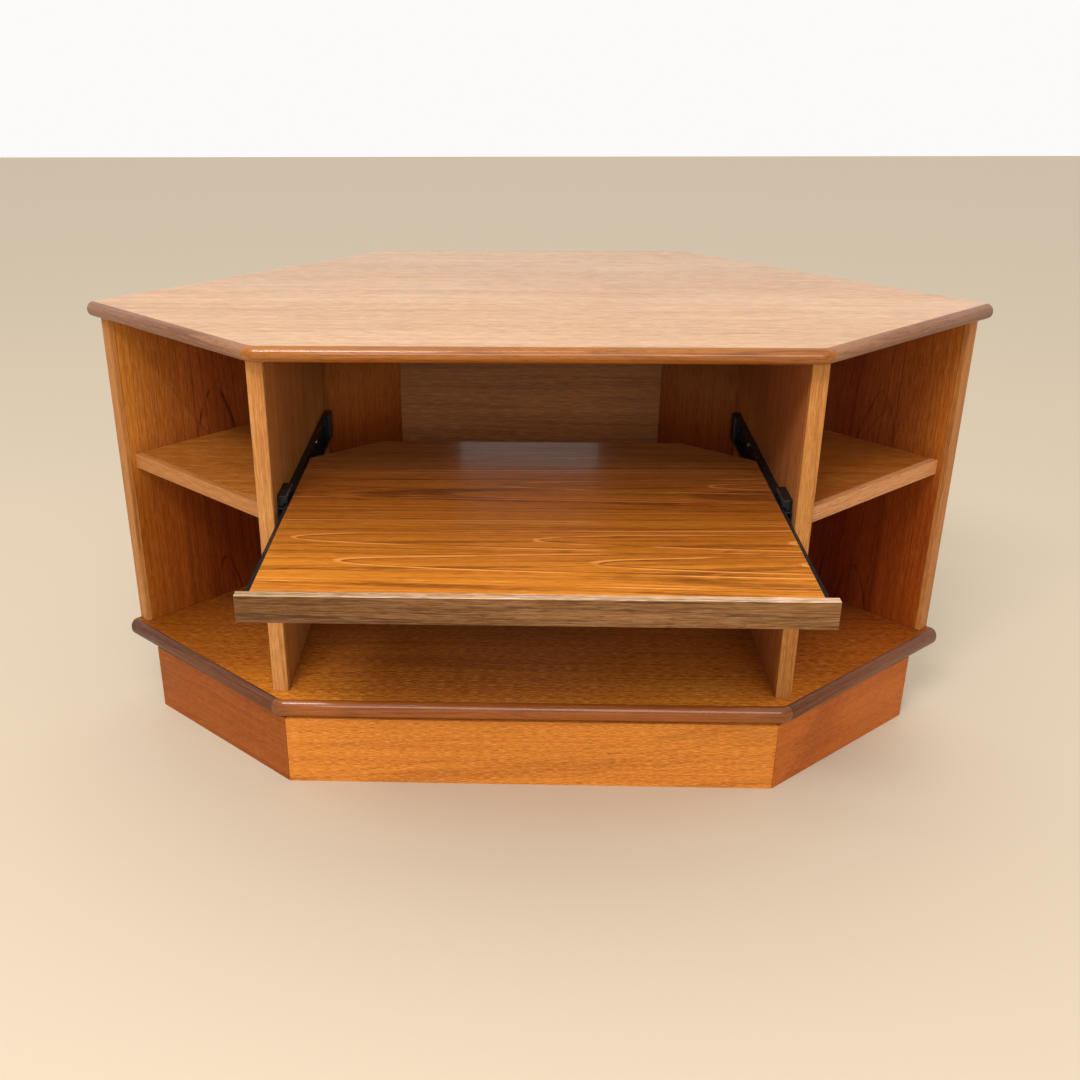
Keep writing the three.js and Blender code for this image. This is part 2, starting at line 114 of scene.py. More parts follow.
def grain_group():
    """Growth rings round a pith that lies off the board, with fibres and pores along the grain.

    The vector runs along the grain in X, across it in Y and into the board in Z, in metres.
    """
    tree = bpy.data.node_groups.new("wood_grain", "ShaderNodeTree")
    face = tree.interface
    face.new_socket("Vector", in_out="INPUT", socket_type="NodeSocketVector")
    for name in GRAIN_KEYS:
        face.new_socket(name, in_out="INPUT", socket_type="NodeSocketFloat")
    for name in ("ring", "pale", "band", "fibre", "pore", "streak", "patch"):
        face.new_socket(name, in_out="OUTPUT", socket_type="NodeSocketFloat")
    source = tree.nodes.new("NodeGroupInput").outputs
    sink = tree.nodes.new("NodeGroupOutput").inputs
    vector = source["Vector"]
    split = tree.nodes.new("ShaderNodeSeparateXYZ")
    feed(tree, split.inputs[0], vector)
    along, across, into = split.outputs

    def strands(scale, **shape):
        return noise(tree, stretch(tree, vector, scale), **shape)

    sway = centred(tree, strands((2.4, 12.0, 12.0), detail=1.5, roughness=0.35), source["wander"])
    ripple = centred(tree, strands((13.0, 55.0, 55.0), detail=2.0), source["wander"])
    drift = calc(tree, "ADD", sway, calc(tree, "MULTIPLY", ripple, 0.12))
    side = calc(tree, "ADD", calc(tree, "SUBTRACT", across, source["pith"]), drift)
    down = calc(tree, "ADD", calc(tree, "MULTIPLY", along, source["taper"]), source["depth"])
    down = calc(tree, "MULTIPLY_ADD", drift, 0.2, calc(tree, "ADD", down, into))
    squares = calc(tree, "ADD", calc(tree, "MULTIPLY", side, side), calc(tree, "MULTIPLY", down, down))
    radius = calc(tree, "SQRT", squares)
    phase = calc(tree, "MULTIPLY", radius, source["rings"])
    within = calc(tree, "FRACT", phase)
    white = tree.nodes.new("ShaderNodeTexWhiteNoise")
    white.noise_dimensions = "1D"
    feed(tree, white.inputs["W"], calc(tree, "ADD", calc(tree, "FLOOR", phase), source["seed"]))
    chance = white.outputs["Value"]
    broken = remap(tree, strands((6.0, 70.0, 70.0), detail=3.0, roughness=0.6), 0.36, 0.6, 0.1, 1.0)
    slope = calc(tree, "ADD", calc(tree, "DIVIDE", calc(tree, "ABSOLUTE", side), radius), 0.03)
    crowding = calc(tree, "MULTIPLY", slope, source["rings"])
    width = calc(tree, "MINIMUM", calc(tree, "MULTIPLY", crowding, 0.004), 0.5)
    left = calc(tree, "DIVIDE", calc(tree, "SUBTRACT", 1.0, within), width)
    late = calc(tree, "MULTIPLY", remap(tree, left, 0.3, 1.0, 1.0, 0.0), remap(tree, left, 0.0, 0.2))
    late = calc(tree, "MULTIPLY", late, calc(tree, "POWER", chance, 1.4))
    feed(tree, sink["ring"], calc(tree, "MULTIPLY", late, broken))
    width = calc(tree, "MINIMUM", calc(tree, "MULTIPLY", crowding, 0.0025), 0.35)
    early = remap(tree, calc(tree, "DIVIDE", within, width), 0.55, 1.0, 1.0, 0.0)
    early = calc(tree, "MULTIPLY", early, remap(tree, chance, 0.45, 0.7))
    gap = remap(tree, strands((7.0, 40.0, 40.0), detail=3.0), 0.4, 0.52)
    feed(tree, sink["pale"], calc(tree, "MULTIPLY", early, gap))

    feed(tree, sink["band"], strands((1.3, 75.0, 75.0), detail=4.0, roughness=0.7))
    feed(tree, sink["fibre"], strands((5.0, 300.0, 300.0), detail=4.0, roughness=0.65))
    dashes = remap(tree, strands((75.0, 1000.0, 1000.0), detail=2.0), 0.56, 0.68)
    crowd = remap(tree, strands((3.0, 60.0, 60.0), detail=2.0), 0.35, 0.65, 0.35, 1.0)
    feed(tree, sink["pore"], calc(tree, "MULTIPLY", dashes, crowd))
    ringed = tree.nodes.new("ShaderNodeCombineXYZ")
    outward = calc(tree, "MULTIPLY_ADD", side, 0.5, radius)
    for socket, value in zip(ringed.inputs, (along, outward, into)):
        feed(tree, socket, value)
    feed(tree, sink["streak"], noise(tree, stretch(tree, ringed.outputs[0], (2.8, 330.0, 20.0)),
                                     detail=4.0, roughness=0.65))
    feed(tree, sink["patch"], strands((1.5, 9.0, 9.0), detail=3.0, roughness=0.55))
    return tree


GRAIN = grain_group()


def axes(along, across):
    """Rotation that turns the board's own directions into X and Y."""
    along, across = Vector(along).normalized(), Vector(across).normalized()
    return Matrix((along, across, along.cross(across))).to_euler("XYZ")


def depth_of(node, along, across):
    """How deep the node's nearest face lies, in its own coordinates."""
    into = Vector(along).cross(Vector(across)).normalized()
    return min((into.dot(v.co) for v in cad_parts[node].data.vertices), key=abs)


def grain_colour(tree, vector, tone, figure):
    """One leaf of veneer or one solid length: its colour, height and broad patches."""
    node = tree.nodes.new("ShaderNodeGroup")
    node.node_tree = GRAIN
    feed(tree, node.inputs["Vector"], vector)
    for key in GRAIN_KEYS:
        node.inputs[key].default_value = figure[key]
    got = node.outputs
    light, mid, dark, line = tone

    def share(value, key):
        return calc(tree, "MULTIPLY", value, figure[key], clamp=True)

    body = blend(tree, remap(tree, got["patch"], 0.3, 0.7), light, mid)
    body = blend(tree, share(remap(tree, got["band"], 0.42, 0.68), "band"), body, dark)
    body = blend(tree, share(remap(tree, got["fibre"], 0.44, 0.74), "fibre"), body, dark)
    body = blend(tree, share(remap(tree, got["streak"], 0.52, 0.64), "streak"), body, line)
    body = blend(tree, share(got["ring"], "ring"), body, line)
    body = blend(tree, share(got["pore"], "pore"), body, line)
    sheen = tuple(min(1.0, c * 1.2 + 0.07) for c in light)
    length, breadth = figure["dash"]
    fleck = noise(tree, stretch(tree, vector, (1 / length, 1 / breadth, 1 / breadth)), roughness=0.6)
    body = blend(tree, share(remap(tree, fleck, 0.5, 0.36), "fleck"), body, line)
    body = blend(tree, share(remap(tree, fleck, 0.5, 0.66), "fleck"), body, sheen)
    body = blend(tree, share(got["pale"], "pale"), body, sheen)
    height = calc(tree, "SUBTRACT", calc(tree, "MULTIPLY", got["fibre"], 0.5), got["pore"])
    return body, height, got["patch"]


def new_material(name):
    material = bpy.data.materials.new(name)
    material.use_nodes = True
    tree = material.node_tree
    tree.nodes.clear()
    shader = tree.nodes.new("ShaderNodeBsdfPrincipled")
    output = tree.nodes.new("ShaderNodeOutputMaterial")
    tree.links.new(shader.outputs[0], output.inputs["Surface"])
    return material, tree, shader


def edge_mask(tree, width):
    """1 on arrises, 0 on flats."""
    eased = tree.nodes.new("ShaderNodeBevel")
    eased.samples = 4
    eased.inputs["Radius"].default_value = width
    geometry = tree.nodes.new("ShaderNodeNewGeometry")
    dot = tree.nodes.new("ShaderNodeVectorMath")
    dot.operation = "DOT_PRODUCT"
    tree.links.new(eased.outputs[0], dot.inputs[0])
    tree.links.new(geometry.outputs["Normal"], dot.inputs[1])
    return remap(tree, calc(tree, "SUBTRACT", 1.0, dot.outputs["Value"]), 0.02, 0.25)


def raise_surface(tree, shader, height, strength, distance):
    bump = tree.nodes.new("ShaderNodeBump")
    bump.inputs["Strength"].default_value = strength
    bump.inputs["Distance"].default_value = distance
    feed(tree, bump.inputs["Height"], height)
    tree.links.new(bump.outputs[0], shader.inputs["Normal"])


def shaded(tree, colour, position, stops):
    """The colour multiplied by tints that change slowly with the position."""
    ramp = tree.nodes.new("ShaderNodeValToRGB")
    marks = ramp.color_ramp.elements
    first, last = stops[0][0], stops[-1][0]
    while len(marks) < len(stops):
        marks.new(1.0)
    for mark, (at, shade) in zip(marks, stops):
        mark.position = (at - first) / (last - first)
        mark.color = (*shade, 1.0)
    feed(tree, ramp.inputs[0], remap(tree, position, first, last, smooth=False))
    product = tree.nodes.new("ShaderNodeMix")
    product.data_type = "RGBA"
    product.blend_type = "MULTIPLY"
    product.inputs["Factor"].default_value = 1.0
    feed(tree, product.inputs[6], colour)
    feed(tree, product.inputs[7], ramp.outputs[0])
    return product.outputs[2]


def wood(name, turn, tone, figure, finish, offset, leaves=(), length_drift=(), width_drift=()):
    """Veneered or solid timber.

    The offset picks the stretch of timber, so that no two boards match. leaves are (position across,
    tone, figure) of each further leaf. The length and width stops are (position, tint) stops of a slow
    change of colour along and across the grain, many of them painted light and shade.
    """
    material, tree, shader = new_material(name)
    place = tree.nodes.new("ShaderNodeTexCoord").outputs["Object"]
    spun = tree.nodes.new("ShaderNodeMapping")
    feed(tree, spun.inputs["Vector"], place)
    spun.inputs["Rotation"].default_value = turn
    spun.inputs["Location"].default_value = offset
    vector = spun.outputs["Vector"]
    colour, height, patch = grain_colour(tree, vector, tone, figure)
    split = tree.nodes.new("ShaderNodeSeparateXYZ")
    feed(tree, split.inputs[0], vector)
    along, across, _ = split.outputs
    for at, next_tone, next_figure in leaves:
        past = calc(tree, "GREATER_THAN", across, at)
        next_colour, next_height, _ = grain_colour(tree, vector, next_tone, next_figure)
        colour = blend(tree, past, colour, next_colour)
        seam = calc(tree, "ABSOLUTE", calc(tree, "SUBTRACT", across, at))
        colour = blend(tree, remap(tree, seam, 0.0002, 0.0012, 0.5, 0.0), colour, tone[3])
        pick = tree.nodes.new("ShaderNodeMix")
        for socket, value in zip((pick.inputs["Factor"], pick.inputs[2], pick.inputs[3]),
                                 (past, height, next_height)):
            feed(tree, socket, value)
        height = pick.outputs[0]
    if length_drift:
        colour = shaded(tree, colour, along, length_drift)
    if width_drift:
        colour = shaded(tree, colour, across, width_drift)
    rough, spread, spec, coat, coat_rough, bump = finish
    smudge = noise(tree, place, detail=3.0, scale=14.0)
    # Lighter arrises, patchy along their length: partly rubbed wear, partly painted highlight.
    wear_and_highlight = calc(tree, "MULTIPLY", edge_mask(tree, 0.0012), remap(tree, smudge, 0.4, 0.62, 0.1, 0.4))
    colour = blend(tree, wear_and_highlight, colour, tuple(min(1.0, c * 1.3 + 0.04) for c in tone[0]))
    feed(tree, shader.inputs["Base Color"], colour)
    handled = calc(tree, "MULTIPLY_ADD", smudge, 0.6, calc(tree, "MULTIPLY", patch, 0.4))
    worn = remap(tree, handled, 0.35, 0.65, rough - spread, rough + spread)
    feed(tree, shader.inputs["Roughness"], worn)
    shader.inputs["IOR"].default_value = 1.48
    shader.inputs["Specular IOR Level"].default_value = spec
    shader.inputs["Coat Weight"].default_value = coat
    shader.inputs["Coat Roughness"].default_value = coat_rough
    raise_surface(tree, shader, height, bump, 0.0004)
    return material


def hard(name, colour, rough, metallic, rubbed, grit=900.0, bump=0.05, shine=0.5):
    """Painted steel, plated steel or moulded plastic with fine grit, clouding and rubbed edges."""
    material, tree, shader = new_material(name)
    place = tree.nodes.new("ShaderNodeTexCoord").outputs["Object"]
    cloud = noise(tree, place, detail=2.0, scale=60.0)
    base = blend(tree, remap(tree, cloud, 0.35, 0.65), colour, tuple(c * 0.75 for c in colour))
    base = blend(tree, calc(tree, "MULTIPLY", edge_mask(tree, 0.0006), 0.6), base, rubbed)
    feed(tree, shader.inputs["Base Color"], base)
    feed(tree, shader.inputs["Roughness"], remap(tree, cloud, 0.3, 0.7, rough - 0.08, rough + 0.08))
    shader.inputs["Metallic"].default_value = metallic
    shader.inputs["Specular IOR Level"].default_value = shine
    raise_surface(tree, shader, noise(tree, place, detail=3.0, scale=grit), bump, 0.0002)
    return material


def tint(tone, red, green, blue):
    return tuple((r * red, g * green, b * blue) for r, g, b in tone)


# Tones are light, mid, fibre and line, from pale to dark.
TOP_TONE = ((0.62, 0.345, 0.165), (0.56, 0.295, 0.135), (0.43, 0.205, 0.085), (0.27, 0.115, 0.042))
PANEL_TONE = ((0.44, 0.155, 0.024), (0.36, 0.115, 0.016), (0.26, 0.075, 0.010), (0.14, 0.035, 0.005))
BACK_TONE = ((0.33, 0.125, 0.035), (0.27, 0.10, 0.026), (0.20, 0.068, 0.017), (0.12, 0.036, 0.010))
PLINTH_TONE = ((0.60, 0.19, 0.018), (0.52, 0.15, 0.013), (0.40, 0.10, 0.009), (0.26, 0.06, 0.006))
SHELF_TONE = ((0.64, 0.22, 0.026), (0.54, 0.165, 0.017), (0.34, 0.088, 0.010), (0.13, 0.030, 0.005))
EDGE_TONE = ((0.52, 0.235, 0.07), (0.45, 0.19, 0.05), (0.36, 0.135, 0.033), (0.22, 0.075, 0.018))
LIP_TONE = ((0.38, 0.105, 0.015), (0.30, 0.08, 0.010), (0.20, 0.05, 0.007), (0.09, 0.02, 0.004))
NOSE_TONE = ((0.39, 0.138, 0.026), (0.31, 0.10, 0.018), (0.22, 0.062, 0.011), (0.11, 0.028, 0.006))
WALNUT_TONE = ((0.25, 0.115, 0.036), (0.19, 0.082, 0.024), (0.11, 0.043, 0.012), (0.045, 0.016, 0.005))

STRAIGHT = dict(pith=0.9, depth=0.25, taper=0.03, rings=210.0, seed=0.0, wander=0.02, ring=0.3,
                pale=0.0, streak=0.4, band=0.4, fibre=0.5, pore=0.5, fleck=0.26, dash=(0.02, 0.0015))
CROWN = dict(STRAIGHT, pith=0.0, depth=0.06, taper=0.022, rings=200.0, ring=0.7)
FINE = dict(STRAIGHT, pith=0.4, depth=0.3, taper=0.02, rings=330.0, wander=0.02, streak=0.5,
            fibre=0.7, fleck=0.22, dash=(0.018, 0.0012))

# Roughness, its spread, specular level, lacquer, lacquer roughness and bump.
SATIN = (0.42, 0.05, 0.13, 0.03, 0.25, 0.12)
SHEER = (0.36, 0.05, 0.45, 0.3, 0.28, 0.06)
GLOSS = (0.38, 0.04, 0.12, 0.2, 0.13, 0.05)
WAXED = (0.32, 0.04, 0.12, 0.55, 0.07, 0.08)
OILED = (0.38, 0.05, 0.15, 0.12, 0.15, 0.12)
RUBBED = (0.4, 0.05, 0.12, 0.12, 0.12, 0.1)

FLAT_X = axes((1, 0, 0), (0, 1, 0))
FRONT_X = axes((1, 0, 0), (0, 0, 1))
FRONT_Z = axes((0, 0, 1), (1, 0, 0))
SIDE_Z = axes((0, 0, 1), (0, 1, 0))


def weld(obj):
    """Joins the corners that each facet holds of its own."""
    obj.data.shade_flat()
    obj.modifiers.new("weld", "WELD").merge_threshold = 0.00001


def dress(node, material, ease, segments=3):
    """Gives a CAD node its material and eases its arrises."""
    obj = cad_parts[node]
    obj.data.materials.clear()
    obj.data.materials.append(material)
    weld(obj)
    bevel = obj.modifiers.new("ease", "BEVEL")
    bevel.width = ease
    bevel.segments = segments
    bevel.limit_method = "ANGLE"
    bevel.angle_limit = math.radians(28)


# ---------------------------------------------------------------- boards and panels

HALF_FRONT = 0.2925
HALF_WIDTH = 0.520
SETBACK = 0.195
CHAMFER = math.atan2(SETBACK, HALF_WIDTH - HALF_FRONT)
CORNER_SHELF_SLOPE = 0.84
LEAF_AT = {"right": -0.258, "left": -0.230}
INNER_LEAF = -0.06

VENEER_EASE = 0.0004
LIPPING_EASE = 0.0007
DIVIDER_LIP_EASE = 0.0009
PLINTH_EASE = 0.0008

# Slow changes of colour over a board: (position, tint) stops in the board's own directions; those
# marked below are painted light and shade.
TOP_DRIFT = ((-0.16, (1.0, 1.02, 1.0)), (0.06, (0.99, 1.0, 0.99)), (0.2, (0.9, 0.93, 0.98)))
# Painted shade: the base darker and redder towards both ends, where it lies in the side bays.
BASE_BAY_PAINTED_SHADE = ((0.25, (0.78, 0.68, 0.3)), (0.5, (1.0, 1.0, 1.0)), (0.9, (1.0, 1.0, 1.0)),
                     (1.15, (0.77, 0.55, 0.34)))
# Painted light and shade: the base lighter along its front edge and darker towards the rear, under the
# pull-out shelf.
BASE_PAINTED_LIGHT_AND_SHADE = ((-0.06, (1.5, 1.6, 1.4)), (0.03, (0.86, 0.82, 0.9)), (0.2, (0.47, 0.41, 0.6)))
# Painted shade: the wall panels darker and redder low down, in the lower bays.
WALL_LOWER_PAINTED_SHADE = {
    "right": ((0.29, (0.6, 0.41, 0.31)), (0.36, (0.84, 0.86, 0.95))),
    "left": ((0.29, (0.6, 0.46, 0.33)), (0.36, (0.97, 1.02, 1.05))),
}
# Painted light and shade: each wall panel lighter at its front edge, darker and redder back towards the
# divider, and lighter again on the leaf that shows in the middle bay.
WALL_PAINTED_LIGHT_AND_SHADE = {
    "right": ((-0.36, (1.25, 1.1, 0.75)), (-0.285, (0.8, 0.6, 0.5)), (-0.2, (0.44, 0.22, 0.3)),
              (-0.02, (0.75, 0.67, 0.95))),
    "left": ((-0.36, (1.4, 1.5, 1.1)), (-0.285, (1.0, 0.9, 0.75)), (-0.2, (0.6, 0.36, 0.4)),
             (-0.02, (0.85, 0.72, 0.75))),
}
# Painted shade: the pull-out shelf darker towards the rear, under the top.
SHELF_PAINTED_SHADE = ((-0.34, (1.0, 1.0, 0.76)), (-0.12, (0.49, 0.41, 0.32)), (0.03, (0.53, 0.54, 0.8)))
STRIP_DRIFT = ((-0.3, (0.76, 0.78, 0.72)), (0.0, (1.0, 1.0, 1.0)))
STRIP_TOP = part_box("pullout_strip")[1][2]
# Painted highlight: a pale line along the strip's top arris.
ARRIS_PAINTED_HIGHLIGHT = ((STRIP_TOP - 0.0011, (1.0, 1.0, 1.0)), (STRIP_TOP - 0.0004, (3.0, 4.4, 8.0)))
# Painted shade: the base's front lipping darker at both ends, where it bends round the corners.
NOSE_END_PAINTED_SHADE = ((-0.1, (0.6, 0.65, 1.0)), (-0.06, (1.0, 1.0, 1.0)), (0.45, (1.0, 1.0, 1.0)),
             (0.5, (0.7, 0.75, 1.1)))

# Painted shade: the plinth's slanted sides darker and redder than its front.
PLINTH_SIDE_PAINTED_SHADE = {"right": (0.78, 0.61, 0.5), "left": (0.55, 0.43, 0.28)}
SHELF_TINT = {"right": (0.84, 0.73, 0.5), "left": (0.97, 0.95, 0.77)}
SHELF_LIP_TINT = {"right": (1.03, 1.0, 1.25), "left": (0.82, 0.73, 0.66)}
DIVIDER_TINT = {"right": (1.23, 1.25, 2.0), "left": (1.28, 1.5, 2.2)}
DIVIDER_LIP_TINT = {"right": (0.91, 0.85, 0.66), "left": (1.02, 1.0, 0.92)}


def along_chamfer(sign):
    c, s = math.cos(CHAMFER), math.sin(CHAMFER)
    return axes((c, sign * s, 0), (0, 0, 1))


def timber(node, turn, tone, figure, ease, finish=SATIN, segments=3, offset=(0.0, 0.0, 0.0), **extra):
    """Dresses a node in wood of its own."""
    dress(node, wood(f"{node}_wood", turn, tone, figure, finish, offset, **extra), ease, segments)


def dress_boards():
    top_figure = dict(STRAIGHT, pith=-0.75, depth=0.4, rings=140.0, wander=0.03, ring=0.25,
                      streak=0.35, band=0.5, fibre=0.5, pore=0.35, fleck=0.3, dash=(0.015, 0.0022))
    timber("top_panel", FLAT_X, TOP_TONE, top_figure, VENEER_EASE, SHEER, width_drift=TOP_DRIFT)
    base_figure = dict(STRAIGHT, pith=-0.6, depth=0.3, rings=150.0, wander=0.05, fibre=0.7,
                       streak=0.6, fleck=0.62, dash=(0.010, 0.0011))
    timber("base_panel", FLAT_X, tint(PANEL_TONE, 1.24, 1.19, 0.64), base_figure, VENEER_EASE,
           offset=(0.7, 0.1, 0.0), length_drift=BASE_BAY_PAINTED_SHADE, width_drift=BASE_PAINTED_LIGHT_AND_SHADE)
    timber("back_panel", FRONT_X, tint(BACK_TONE, 0.82, 0.78, 0.7),
           dict(STRAIGHT, pith=0.95, depth=0.2, rings=130.0), VENEER_EASE, offset=(1.7, 0.0, 0.0))


def dress_plinth():
    figure = dict(STRAIGHT, pith=0.5, depth=0.35, rings=190.0, wander=0.04, ring=0.35, fleck=0.48,
                  dash=(0.009, 0.0009))
    timber("plinth_front", FRONT_X, tint(PLINTH_TONE, 1.1, 1.2, 1.45), figure, PLINTH_EASE)
    timber("plinth_back", FRONT_X, PANEL_TONE, figure, PLINTH_EASE, offset=(2.9, 0.0, 0.0))
    for side, sign in SIDES:
        timber(f"plinth_{side}", along_chamfer(sign), tint(PLINTH_TONE, *PLINTH_SIDE_PAINTED_SHADE[side]),
               dict(figure, fleck=0.25), PLINTH_EASE, offset=(0.9 * sign, 0.05, 0.0))
        timber(f"plinth_wall_{side}", axes((-sign, 1, 0), (0, 0, 1)), PANEL_TONE, figure,
               PLINTH_EASE, offset=(2.1 * sign, 0.0, 0.0))
        timber(f"plinth_block_{side}", SIDE_Z, EDGE_TONE, FINE, PLINTH_EASE,
               offset=(3.0 + sign, 0.0, 0.0))


def dress_divider(side, sign):
    timber(f"divider_{side}", SIDE_Z, tint(PANEL_TONE, *DIVIDER_TINT[side]),
           dict(STRAIGHT, pith=0.7, depth=0.3, rings=190.0), VENEER_EASE,
           offset=(0.4 * sign, 0.0, 0.0))
    timber(f"divider_lipping_{side}", FRONT_Z, tint(EDGE_TONE, *DIVIDER_LIP_TINT[side]),
           dict(FINE, pith=0.3 * sign), DIVIDER_LIP_EASE, segments=4,
           offset=(0.9 * sign, 0.0, 0.0))


def dress_wall(side, sign):
    """A wall panel of three leaves, the middle one with arches, and its lipping."""
    up, rearward = (0, 0, 1), (-sign, 1, 0)
    turn = axes(up, rearward)
    depth = depth_of(f"wall_panel_{side}", up, rearward)
    plain = dict(STRAIGHT, pith=-1.1, depth=0.3, rings=150.0)
    crown = dict(CROWN, pith=LEAF_AT[side] + 0.026, depth=0.3017, taper=0.0167, rings=230.0,
                 seed=224.0, wander=0.012, ring=1.0)
    timber(f"wall_panel_{side}", turn, PANEL_TONE, plain, VENEER_EASE, offset=(0.0, 0.0, -depth),
           leaves=((LEAF_AT[side], PANEL_TONE, crown), (INNER_LEAF, PANEL_TONE, plain)),
           length_drift=WALL_LOWER_PAINTED_SHADE[side], width_drift=WALL_PAINTED_LIGHT_AND_SHADE[side])
    timber(f"wall_lipping_{side}", turn, tint(EDGE_TONE, 0.88, 0.79, 0.64), FINE, LIPPING_EASE,
           offset=(0.3 * sign, 0.0, 0.0))


def dress_corner_shelf(side, sign):
    timber(f"corner_shelf_{side}", FLAT_X, tint(PANEL_TONE, *SHELF_TINT[side]),
           dict(STRAIGHT, pith=-0.5, rings=180.0, fleck=0.3), VENEER_EASE,
           offset=(1.3 * sign, 0.2, 0.0))
    timber(f"corner_shelf_lipping_{side}", axes((1, sign * CORNER_SHELF_SLOPE, 0), (0, 0, 1)),
           tint(EDGE_TONE, *SHELF_LIP_TINT[side]), FINE, LIPPING_EASE,
           offset=(0.6 * sign, 0.0, 0.0))


dress_boards()
dress_plinth()
for side, sign in SIDES:
    dress_divider(side, sign)
    dress_wall(side, sign)
    dress_corner_shelf(side, sign)


# ---------------------------------------------------------------- rounded lippings

LIP = 0.008
ROUND = 0.025
JOINT = 0.0003
NOSE_STEPS = 36
BEND_STEPS = 12
FRONT_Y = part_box("top_lipping_front")[0][1]


def sweep_lipping(name, node, stations, low, high, material):
    """A rounded length along plan stations (edge point, inward direction), with eased back arrises."""
    half = (high - low) / 2
    mid = (high + low) / 2
    loop = []
    for i in range(NOSE_STEPS + 1):
        angle = -math.pi / 2 + math.pi * i / NOSE_STEPS
        loop.append((LIP * (1 - math.cos(angle)), mid + half * math.sin(angle)))
    mesh = bmesh.new()
    rows = []
    for edge, inward in stations:
        rows.append([mesh.verts.new((*(edge + inward * inset), z)) for inset, z in loop])
    for a, b in zip(rows, rows[1:]):
        for i in range(len(loop)):
            j = (i + 1) % len(loop)
            face = mesh.faces.new((a[i], b[i], b[j], a[j]))
            face.smooth = j != 0
    mesh.faces.new(rows[0])
    mesh.faces.new(rows[-1][::-1])
    bmesh.ops.recalc_face_normals(mesh, faces=mesh.faces)
    data = bpy.data.meshes.new(name)
    mesh.to_mesh(data)
    mesh.free()
    obj = bpy.data.objects.new(name, data)
    bpy.context.scene.collection.objects.link(obj)
    data.materials.append(material)
    sharp = obj.modifiers.new("arris", "BEVEL")
    sharp.width = 0.0003
    sharp.segments = 2
    sharp.limit_method = "ANGLE"
    sharp.angle_limit = math.radians(50)
    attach(obj, "cabinet")
    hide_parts(node)


def corner_station(sign, turn, shift=0.0):
    """A plan station on the rounded corner: turn 0 lies on the front, 1 on the slanted edge."""
    angle = CHAMFER * turn
    inward = Vector((-math.sin(angle), math.cos(angle)))
    centre = Vector((HALF_FRONT - ROUND * math.tan(CHAMFER / 2), FRONT_Y + ROUND))
    edge = centre - inward * ROUND + Vector((inward.y, -inward.x)) * shift
    return Vector((sign * edge.x, edge.y)), Vector((sign * inward.x, inward.y))


def wall_station(sign):
    """The plan station where a slanted lipping ends along the line of the room's wall."""
    reach = math.sin(CHAMFER) + math.cos(CHAMFER)
    return Vector((sign * HALF_WIDTH, FRONT_Y + SETBACK)), Vector((-sign / reach, 1 / reach))


def front_half(sign):
    """Stations round one corner of the front lipping, ending just short of the joint."""
    turns = [i / BEND_STEPS for i in range(BEND_STEPS)]
    return [corner_station(sign, turn) for turn in turns] + [corner_station(sign, 1.0, -JOINT / 2)]


def lip_board(board, tone, side_painted_sheen_and_shade, ends):
    """The front lipping bent round both corners, and the two slanted ones."""
    low, high = (corner[2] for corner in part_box(f"{board}_lipping_front"))
    figure = dict(FINE, pith=0.35, rings=300.0, ring=0.5, fleck=0.1)
    # ends holds painted shade for the front lipping's ends, where it bends round the corners.
    sweep_lipping(f"{board}_nose", f"{board}_lipping_front", front_half(-1)[::-1] + front_half(1),
                  low, high, wood(f"{board}_nose_wood", FRONT_X, tone, figure, WAXED,
                                  (0.2, 0.0, 0.0), length_drift=ends))
    # The slanted lippings take the front's tone tinted for how they catch the light: painted sheen,
    # greyer, on the top's and painted shade, darker, on the base's.
    for side, sign in SIDES:
        sweep_lipping(f"{board}_nose_{side}", f"{board}_lipping_{side}",
                      [corner_station(sign, 1.0, JOINT / 2), wall_station(sign)], low, high,
                      wood(f"{board}_nose_{side}_wood", along_chamfer(sign),
                           tint(tone, *side_painted_sheen_and_shade), figure, OILED, (0.8 * sign, 0.0, 0.0)))


lip_board("top", tint(NOSE_TONE, 0.94, 0.9, 0.6), (0.88, 1.3, 5.6), ())
lip_board("base", LIP_TONE, (0.42, 0.5, 1.4), NOSE_END_PAINTED_SHADE)


# ---------------------------------------------------------------- pull-out shelf

SHELF_EASE = 0.0005
STRIP_EASE = 0.0012
FIRST_SEAM = -0.243
SECOND_SEAM = -0.13


def dress_pullout_board():
    """Three leaves of crown-cut veneer, each with its own pith."""
    figure = dict(CROWN, pith=-0.268, depth=0.04983, taper=-0.017, rings=245.0, wander=0.012,
                  seed=179.0, ring=0.7, pale=0.85, streak=0.65, band=0.55, fibre=0.5, pore=0.4,
                  fleck=0.2)
    middle = dict(figure, pith=-0.214, depth=0.04927)
    rear = dict(figure, pith=-0.06, depth=0.05238)
    surface = max(v.co.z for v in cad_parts["pullout_board"].data.vertices)
    timber("pullout_board", FLAT_X, SHELF_TONE, figure, SHELF_EASE, GLOSS,
           offset=(0.0, 0.0, -surface), width_drift=SHELF_PAINTED_SHADE,
           leaves=((FIRST_SEAM, SHELF_TONE, middle), (SECOND_SEAM, SHELF_TONE, rear)))


def dress_pullout_strip():
    figure = dict(FINE, pith=0.12, depth=0.03, taper=0.03, rings=300.0, wander=0.03, ring=0.7,
                  streak=0.7, fibre=0.9, pore=0.9, fleck=0.36, dash=(0.024, 0.0009))
    timber("pullout_strip", FRONT_X, tint(WALNUT_TONE, 0.91, 0.85, 0.76), figure, STRIP_EASE,
           RUBBED, segments=4, length_drift=STRIP_DRIFT, width_drift=ARRIS_PAINTED_HIGHLIGHT)


dress_pullout_board()
dress_pullout_strip()


# ---------------------------------------------------------------- runners and fittings

SHEET_EASE = 0.0003
MOULDED_EASE = 0.0009
PIN_EASE = 0.0002

